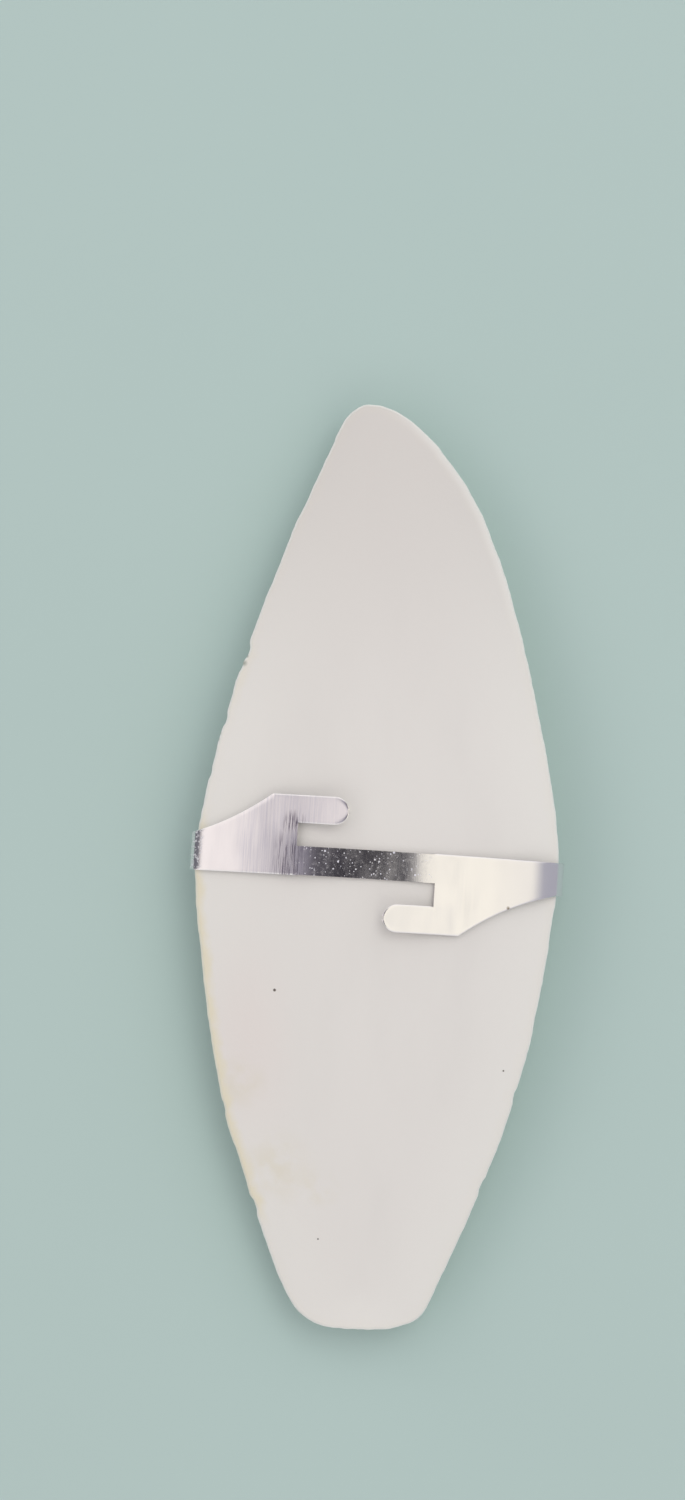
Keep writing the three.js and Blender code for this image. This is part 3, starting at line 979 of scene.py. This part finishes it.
def rim_colours(tree, place, colour):
    """The thin horny layer that shows as a ragged beige rim, and a painted highlight along the very edge
    and near the right front corner.
    """
    inward = stored(tree, "inward")
    rim = stored(tree, "rim")
    raggedness = calc(tree, "MULTIPLY", grain(tree, place, *RIM_GRAIN), RIM_RAGGEDNESS)
    reach = remap(tree, calc(tree, "SUBTRACT", inward, raggedness), *RIM_REACH, 1.0, 0.0)
    colour = blend(tree, calc(tree, "MULTIPLY", reach, rim), colour, RIM_COLOUR)
    # Painted highlight: a pale band inside the edge near the right front corner
    split = add_node(tree, "ShaderNodeSeparateXYZ", {0: place})
    on_right = remap(tree, split.outputs[0], *CORNER_HIGHLIGHT_X)
    at_corner = calc(tree, "MULTIPLY", on_right, remap(tree, split.outputs[1], *CORNER_HIGHLIGHT_Y))
    corner_highlight = calc(tree, "MULTIPLY", at_corner, remap(tree, inward, *CORNER_HIGHLIGHT_REACH, CORNER_HIGHLIGHT_SHARE, 0.0))
    colour = blend(tree, corner_highlight, colour, PAINTED_HIGHLIGHT_COLOUR)
    # Painted highlight along the very edge, weaker on the rim
    edge_highlight = remap(tree, inward, *EDGE_HIGHLIGHT_REACH, EDGE_HIGHLIGHT_SHARE, 0.0)
    bare = remap(tree, rim, *EDGE_HIGHLIGHT_RIM_LEVELS, 1.0, EDGE_HIGHLIGHT_ON_RIM)
    return blend(tree, calc(tree, "MULTIPLY", edge_highlight, bare), colour, PAINTED_HIGHLIGHT_COLOUR)


def bone_material():
    made, tree, shader = new_material("cuttlebone_chalk")
    place = in_millimetres(tree)
    flat_place = stretched(tree, place, FLATTENED)
    under, ledged, growth = stored(tree, "under"), stored(tree, "ledged"), stored(tree, "growth")
    colour = blend(tree, under, back_colours(tree, place, flat_place), BELLY_COLOUR)
    colour = rim_colours(tree, place, colour)

    wander = calc(tree, "MULTIPLY", grain(tree, place, *LINE_GRAIN), LINE_WANDER)
    from_line = calc(tree, "PINGPONG", calc(tree, "ADD", growth, wander), LINE_HALF_GAP)
    lines = remap(tree, from_line, *LINE_LEVELS)
    line_share = calc(tree, "MULTIPLY", calc(tree, "SUBTRACT", 1.0, lines), ledged)
    colour = blend(tree, calc(tree, "MULTIPLY", line_share, LINE_SHARE), colour, LINE_COLOUR)
    on_back = calc(tree, "SUBTRACT", 1.0, under)
    on_wall = calc(tree, "MULTIPLY", calc(tree, "MULTIPLY", under, on_back), WALL_PEAK)
    height = add_node(tree, "ShaderNodeSeparateXYZ", {0: place}).outputs[2]
    layers = calc(tree, "PINGPONG", calc(tree, "ADD", height, wander), LAYER_GAP / 2)
    layers = calc(tree, "MULTIPLY", remap(tree, layers, 0.0, LAYER_GAP / 2), on_wall)
    colour = blend(tree, calc(tree, "MULTIPLY", layers, LAYER_SHARE), colour, LINE_COLOUR)
    # Painted shade in the chips along the left edge
    for centre, radius in NICKS:
        share = calc(tree, "MULTIPLY", on_back, spot(tree, flat_place, centre, 0.0, radius))
        colour = blend(tree, share, colour, PAINTED_NICK_SHADE)
    # Painted shade: small pits painted dark
    for centre, radius in PITS:
        share = calc(tree, "MULTIPLY", on_back, spot(tree, flat_place, centre, PIT_CORE * radius, radius))
        colour = blend(tree, share, colour, PAINTED_PIT_SHADE)
    feed(tree, shader, "Base Color", colour)

    fine = grain(tree, place, *CHALK_GRAIN)
    feed(tree, shader, "Roughness", remap(tree, fine, *CHALK_LEVELS, *CHALK_ROUGHNESS))
    soft = bump(tree, fine, *CHALK_BUMP)
    ribs = bump(tree, calc(tree, "MULTIPLY", lines, ledged), *LINE_BUMP, soft)
    feed(tree, shader, "Normal", bump(tree, layers, *LAYER_BUMP, ribs))
    shader.inputs["Specular IOR Level"].default_value = CHALK_SPECULAR
    return made


# Clip material


def specks(tree, sheet, cell, none_below, largest):
    """Specks of mixed sizes, at most one to a cell; a cell whose random share is low has none."""
    cells = add_node(tree, "ShaderNodeTexVoronoi", {"Vector": sheet, "Scale": 1 / cell})
    chance = add_node(tree, "ShaderNodeSeparateXYZ", {0: cells.outputs["Color"]}).outputs[0]
    size = remap(tree, chance, none_below, 1.0, 0.0, largest)
    return remap(tree, calc(tree, "SUBTRACT", size, cells.outputs["Distance"]), 0.0, SPECK_EDGE)


def dust_share(tree, sheet, along, across):
    """Chalk dust: a patchy film with bright specks on the strap, and flecks rubbed onto the left fold."""
    film = remap(tree, grain(tree, sheet, *FILM_GRAIN), *FILM_LEVELS, 0.0, FILM_SHARE)
    fine = specks(tree, sheet, *FINE_SPECKS)
    bright = calc(tree, "MAXIMUM", fine, specks(tree, sheet, *COARSE_SPECKS))
    near_middle = remap(tree, calc(tree, "ABSOLUTE", along), *DUSTY_U, 1.0, 0.0)
    on_strap = remap(tree, calc(tree, "ABSOLUTE", across), *DUSTY_V, 1.0, 0.0)
    clusters = remap(tree, grain(tree, sheet, *CLUSTER_GRAIN), *CLUSTER_LEVELS, *CLUSTER_SHARES)
    bright = calc(tree, "MULTIPLY", bright, clusters)
    dusty = calc(tree, "MULTIPLY", near_middle, on_strap)
    strap_dust = calc(tree, "MULTIPLY", dusty, calc(tree, "MAXIMUM", film, bright))
    speckle = grain(tree, in_millimetres(tree), *FOLD_DUST_GRAIN)
    flecks = remap(tree, speckle, *FOLD_DUST_LEVELS, 0.0, FOLD_DUST_SHARE)
    fold_dust = calc(tree, "MULTIPLY", flecks, remap(tree, along, *FOLD_DUST_U, 1.0, 0.0))
    return calc(tree, "MAXIMUM", strap_dust, fold_dust)


def scuff_share(tree, sheet, along, across, scratches):
    """Scratches where the left hook's plate is creased, and a smudge at the foot of its finger."""
    from_crease = calc(tree, "ABSOLUTE", calc(tree, "SUBTRACT", along, CREASE_U))
    creased = remap(tree, from_crease, *CREASE_REACH, CREASE_SHARE, 0.0)
    creased = calc(tree, "MULTIPLY", creased, remap(tree, across, *CREASE_TO_V, 1.0, 0.0))
    rubbed = calc(tree, "MAXIMUM", creased, spot(tree, sheet, SMUDGE_PLACE, *SMUDGE_REACH))
    return calc(tree, "MULTIPLY", rubbed, remap(tree, scratches, *SCRATCH_LEVELS))


def metal_material():
    made, tree, shader = new_material("rolled_sheet_metal")
    sheet = stored(tree, "sheet", "Vector")
    split = add_node(tree, "ShaderNodeSeparateXYZ", {0: sheet})
    along, across = split.outputs[0], split.outputs[1]
    brushed = grain(tree, stretched(tree, sheet, BRUSHED_STRETCH), *BRUSHED_GRAIN)
    smears = grain(tree, stretched(tree, sheet, SMEAR_STRETCH), *SMEAR_GRAIN)
    scratches = grain(tree, stretched(tree, sheet, SCRATCH_STRETCH), *SCRATCH_GRAIN)
    smeared = remap(tree, smears, *SMEAR_LEVELS, *SMEAR_SHARES)
    wear_and_reflection = calc(tree, "MULTIPLY", remap(tree, brushed, *WORN_LEVELS), smeared)
    wear_and_reflection = calc(tree, "MULTIPLY", wear_and_reflection, remap(tree, along, *STREAKS_FROM, *STREAK_SHARES))
    wear_and_reflection = calc(tree, "MULTIPLY", wear_and_reflection, remap(tree, along, *STREAKS_TO, 1.0, STREAKS_LEAST))
    # Painted reflection: the right plate greys towards its fold; the streaks above are wear
    right_fold_reflection = remap(tree, along, *RIGHT_FOLD_REFLECTION_U, 0.0, RIGHT_FOLD_REFLECTION_SHARE)
    wear_and_reflection = calc(tree, "MAXIMUM", wear_and_reflection, right_fold_reflection)
    colour = blend(tree, wear_and_reflection, METAL_COLOUR, WORN_AND_REFLECTION_COLOUR)
    scuffs = scuff_share(tree, sheet, along, across, scratches)
    colour = blend(tree, scuffs, colour, SCUFF_COLOUR)
    colour = blend(tree, spot(tree, sheet, DIRT_PLACE, *DIRT_REACH), colour, DIRT_COLOUR)
    dust = dust_share(tree, sheet, along, across)
    colour = blend(tree, dust, colour, DUST_COLOUR)
    feed(tree, shader, "Base Color", colour)
    feed(tree, shader, "Metallic", calc(tree, "SUBTRACT", 1.0, dust))

    rough = remap(tree, smears, *SHEEN_LEVELS, *SHEEN_ROUGHNESS)
    rough = calc(tree, "ADD", rough, calc(tree, "MULTIPLY", scuffs, SCUFF_ROUGHNESS))
    rough = calc(tree, "ADD", rough, calc(tree, "MULTIPLY", dust, DUST_ROUGHNESS))
    feed(tree, shader, "Roughness", rough)
    dents = bump(tree, calc(tree, "MULTIPLY", scratches, scuffs), *SCRATCH_BUMP)
    feed(tree, shader, "Normal", bump(tree, brushed, *BRUSHED_BUMP, dents))
    return made


# Stage


def floor_material():
    made, tree, shader = new_material("plain_floor")
    place = in_millimetres(tree)
    mottle = grain(tree, place, *FLOOR_GRAIN)
    darker = tuple(FLOOR_MOTTLE * channel for channel in FLOOR_COLOUR[:3])
    feed(tree, shader, "Base Color", blend(tree, mottle, FLOOR_COLOUR, (*darker, 1.0)))
    shader.inputs["Roughness"].default_value = FLOOR_ROUGHNESS
    return made


def make_floor():
    half = FLOOR_SIZE / 2
    corners = np.array([[-half, -half, 0], [half, -half, 0], [half, half, 0], [-half, half, 0]])
    floor = mesh_object("floor", corners, np.array([[0, 1, 2, 3]]), {})
    floor.data.materials.append(floor_material())


def make_world():
    """A white tent with a dim port over the object, which the flat strap mirrors."""
    world = bpy.data.worlds.new("studio_tent")
    bpy.context.scene.world = world
    world.use_nodes = True
    tree = world.node_tree
    way = add_node(tree, "ShaderNodeTexCoord", {}).outputs["Generated"]
    split = add_node(tree, "ShaderNodeSeparateXYZ", {0: way})
    angles = {}
    angles["right"] = calc(tree, "ARCSINE", split.outputs[0])
    angles["ahead"] = calc(tree, "ARCSINE", split.outputs[1])
    angles["left"] = calc(tree, "MULTIPLY", angles["right"], -1.0)
    angles["behind"] = calc(tree, "MULTIPLY", angles["ahead"], -1.0)
    colour = PORT_COLOUR
    for side, (start, end), light in TENT:
        share = remap(tree, angles[side], math.radians(start), math.radians(end))
        colour = blend(tree, share, colour, light)
    tree.links.new(colour, tree.nodes["Background"].inputs["Color"])


def make_key_light():
    data = bpy.data.lights.new("soft_key", "AREA")
    data.shape = "RECTANGLE"
    data.size = KEY_SIZE
    data.size_y = KEY_SIZE
    data.energy = KEY_POWER
    light = bpy.data.objects.new("soft_key", data)
    light.location = KEY_PLACE
    light.rotation_euler = (-light.location).to_track_quat("-Z", "Y").to_euler()
    light.visible_glossy = False
    bpy.context.scene.collection.objects.link(light)


def make_camera():
    data = bpy.data.cameras.new("camera")
    data.sensor_fit = "VERTICAL"
    data.sensor_height = SENSOR
    data.lens = LENS
    right = BONE_MIDDLE_PX[0] - PHOTO_WIDTH / 2
    down = BONE_MIDDLE_PX[1] - PHOTO_HEIGHT / 2
    cos, sin = math.cos(BONE_LEAN), math.sin(BONE_LEAN)
    x = -(right * cos + down * sin) / PIXELS_PER_MM
    y = (down * cos - right * sin) / PIXELS_PER_MM
    distance = PHOTO_HEIGHT / PIXELS_PER_MM * LENS / SENSOR
    camera = bpy.data.objects.new("camera", data)
    camera.location = (x * MM, y * MM, (FOCUS_HEIGHT + distance) * MM)
    camera.rotation_euler = (0, 0, BONE_LEAN)
    bpy.context.scene.collection.objects.link(camera)
    bpy.context.scene.camera = camera


make_camera()
make_world()
make_key_light()
make_floor()
make_bone()
make_clip()
bpy.context.scene.view_settings.view_transform = "Standard"
